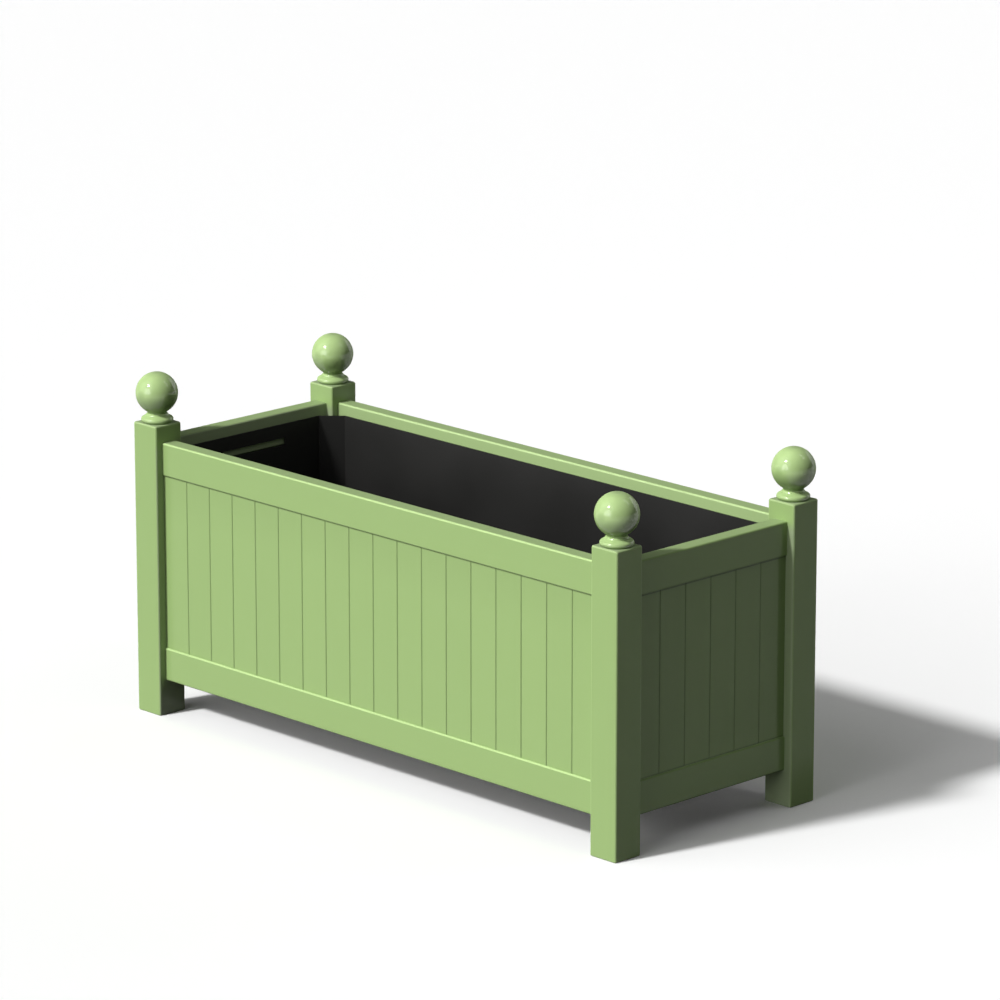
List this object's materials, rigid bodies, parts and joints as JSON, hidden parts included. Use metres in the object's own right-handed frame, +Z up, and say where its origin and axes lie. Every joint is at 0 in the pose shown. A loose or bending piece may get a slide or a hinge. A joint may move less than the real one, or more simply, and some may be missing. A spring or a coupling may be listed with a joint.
{
  "type": "versailles planter",
  "caption": "Long rectangular painted timber planter with ball-finial corner posts, V-jointed board sides, rails and a lift-out black liner.",
  "frame": {"origin": "on the ground at the middle of the planter's plan, under the four level post feet", "axes": "+X along the long side towards the viewer's right, +Y from the front side to the back side, +Z up"},
  "size_m": [1.5188, 0.6188, 0.7764],
  "materials": {
    "painted_posts": "gloss exterior paint on planed softwood",
    "painted_rails": "gloss exterior paint on planed softwood",
    "painted_boards": "gloss exterior paint on tongued and grooved boards",
    "painted_finial": "high gloss exterior paint on turned hardwood",
    "base_timber": "bare preservative-treated softwood",
    "liner_plastic": "black moulded plastic with a fine satin grain",
    "zinc_screw": "yellow passivated zinc",
    "zinc_stud": "bright zinc plated"
  },
  "bodies": {
    "frame": {"back_bearer": "base_timber", "back_boards": "painted_boards", "back_left_finial": "painted_finial", "back_left_post": "painted_posts", "back_right_finial": "painted_finial", "back_right_post": "painted_posts", "base_slat_1": "base_timber", "base_slat_2": "base_timber", "base_slat_3": "base_timber", "base_slat_4": "base_timber", "base_slat_5": "base_timber", "base_slat_6": "base_timber", "base_slat_7": "base_timber", "bearer_screws": "zinc_screw", "bottom_back_rail": "painted_rails", "bottom_front_rail": "painted_rails", "bottom_left_rail": "painted_rails", "bottom_right_rail": "painted_rails", "finial_studs": "zinc_stud", "front_bearer": "base_timber", "front_boards": "painted_boards", "front_left_finial": "painted_finial", "front_left_post": "painted_posts", "front_right_finial": "painted_finial", "front_right_post": "painted_posts", "left_board_1": "painted_boards", "left_board_2": "painted_boards", "left_board_3": "painted_boards", "left_board_4": "painted_boards", "left_board_5": "painted_boards", "left_board_6": "painted_boards", "right_board_1": "painted_boards", "right_board_2": "painted_boards", "right_board_3": "painted_boards", "right_board_4": "painted_boards", "right_board_5": "painted_boards", "right_board_6": "painted_boards", "slat_screws": "zinc_screw", "top_back_rail": "painted_rails", "top_front_rail": "painted_rails", "top_left_rail": "painted_rails", "top_right_rail": "painted_rails"},
    "liner": {"liner": "liner_plastic"}
  },
  "joints": [
    {"name": "liner_lift", "type": "slide", "parent": "frame", "child": "liner", "axis": [0, 0, 1], "range_m": [0, 0.648]}
  ]
}
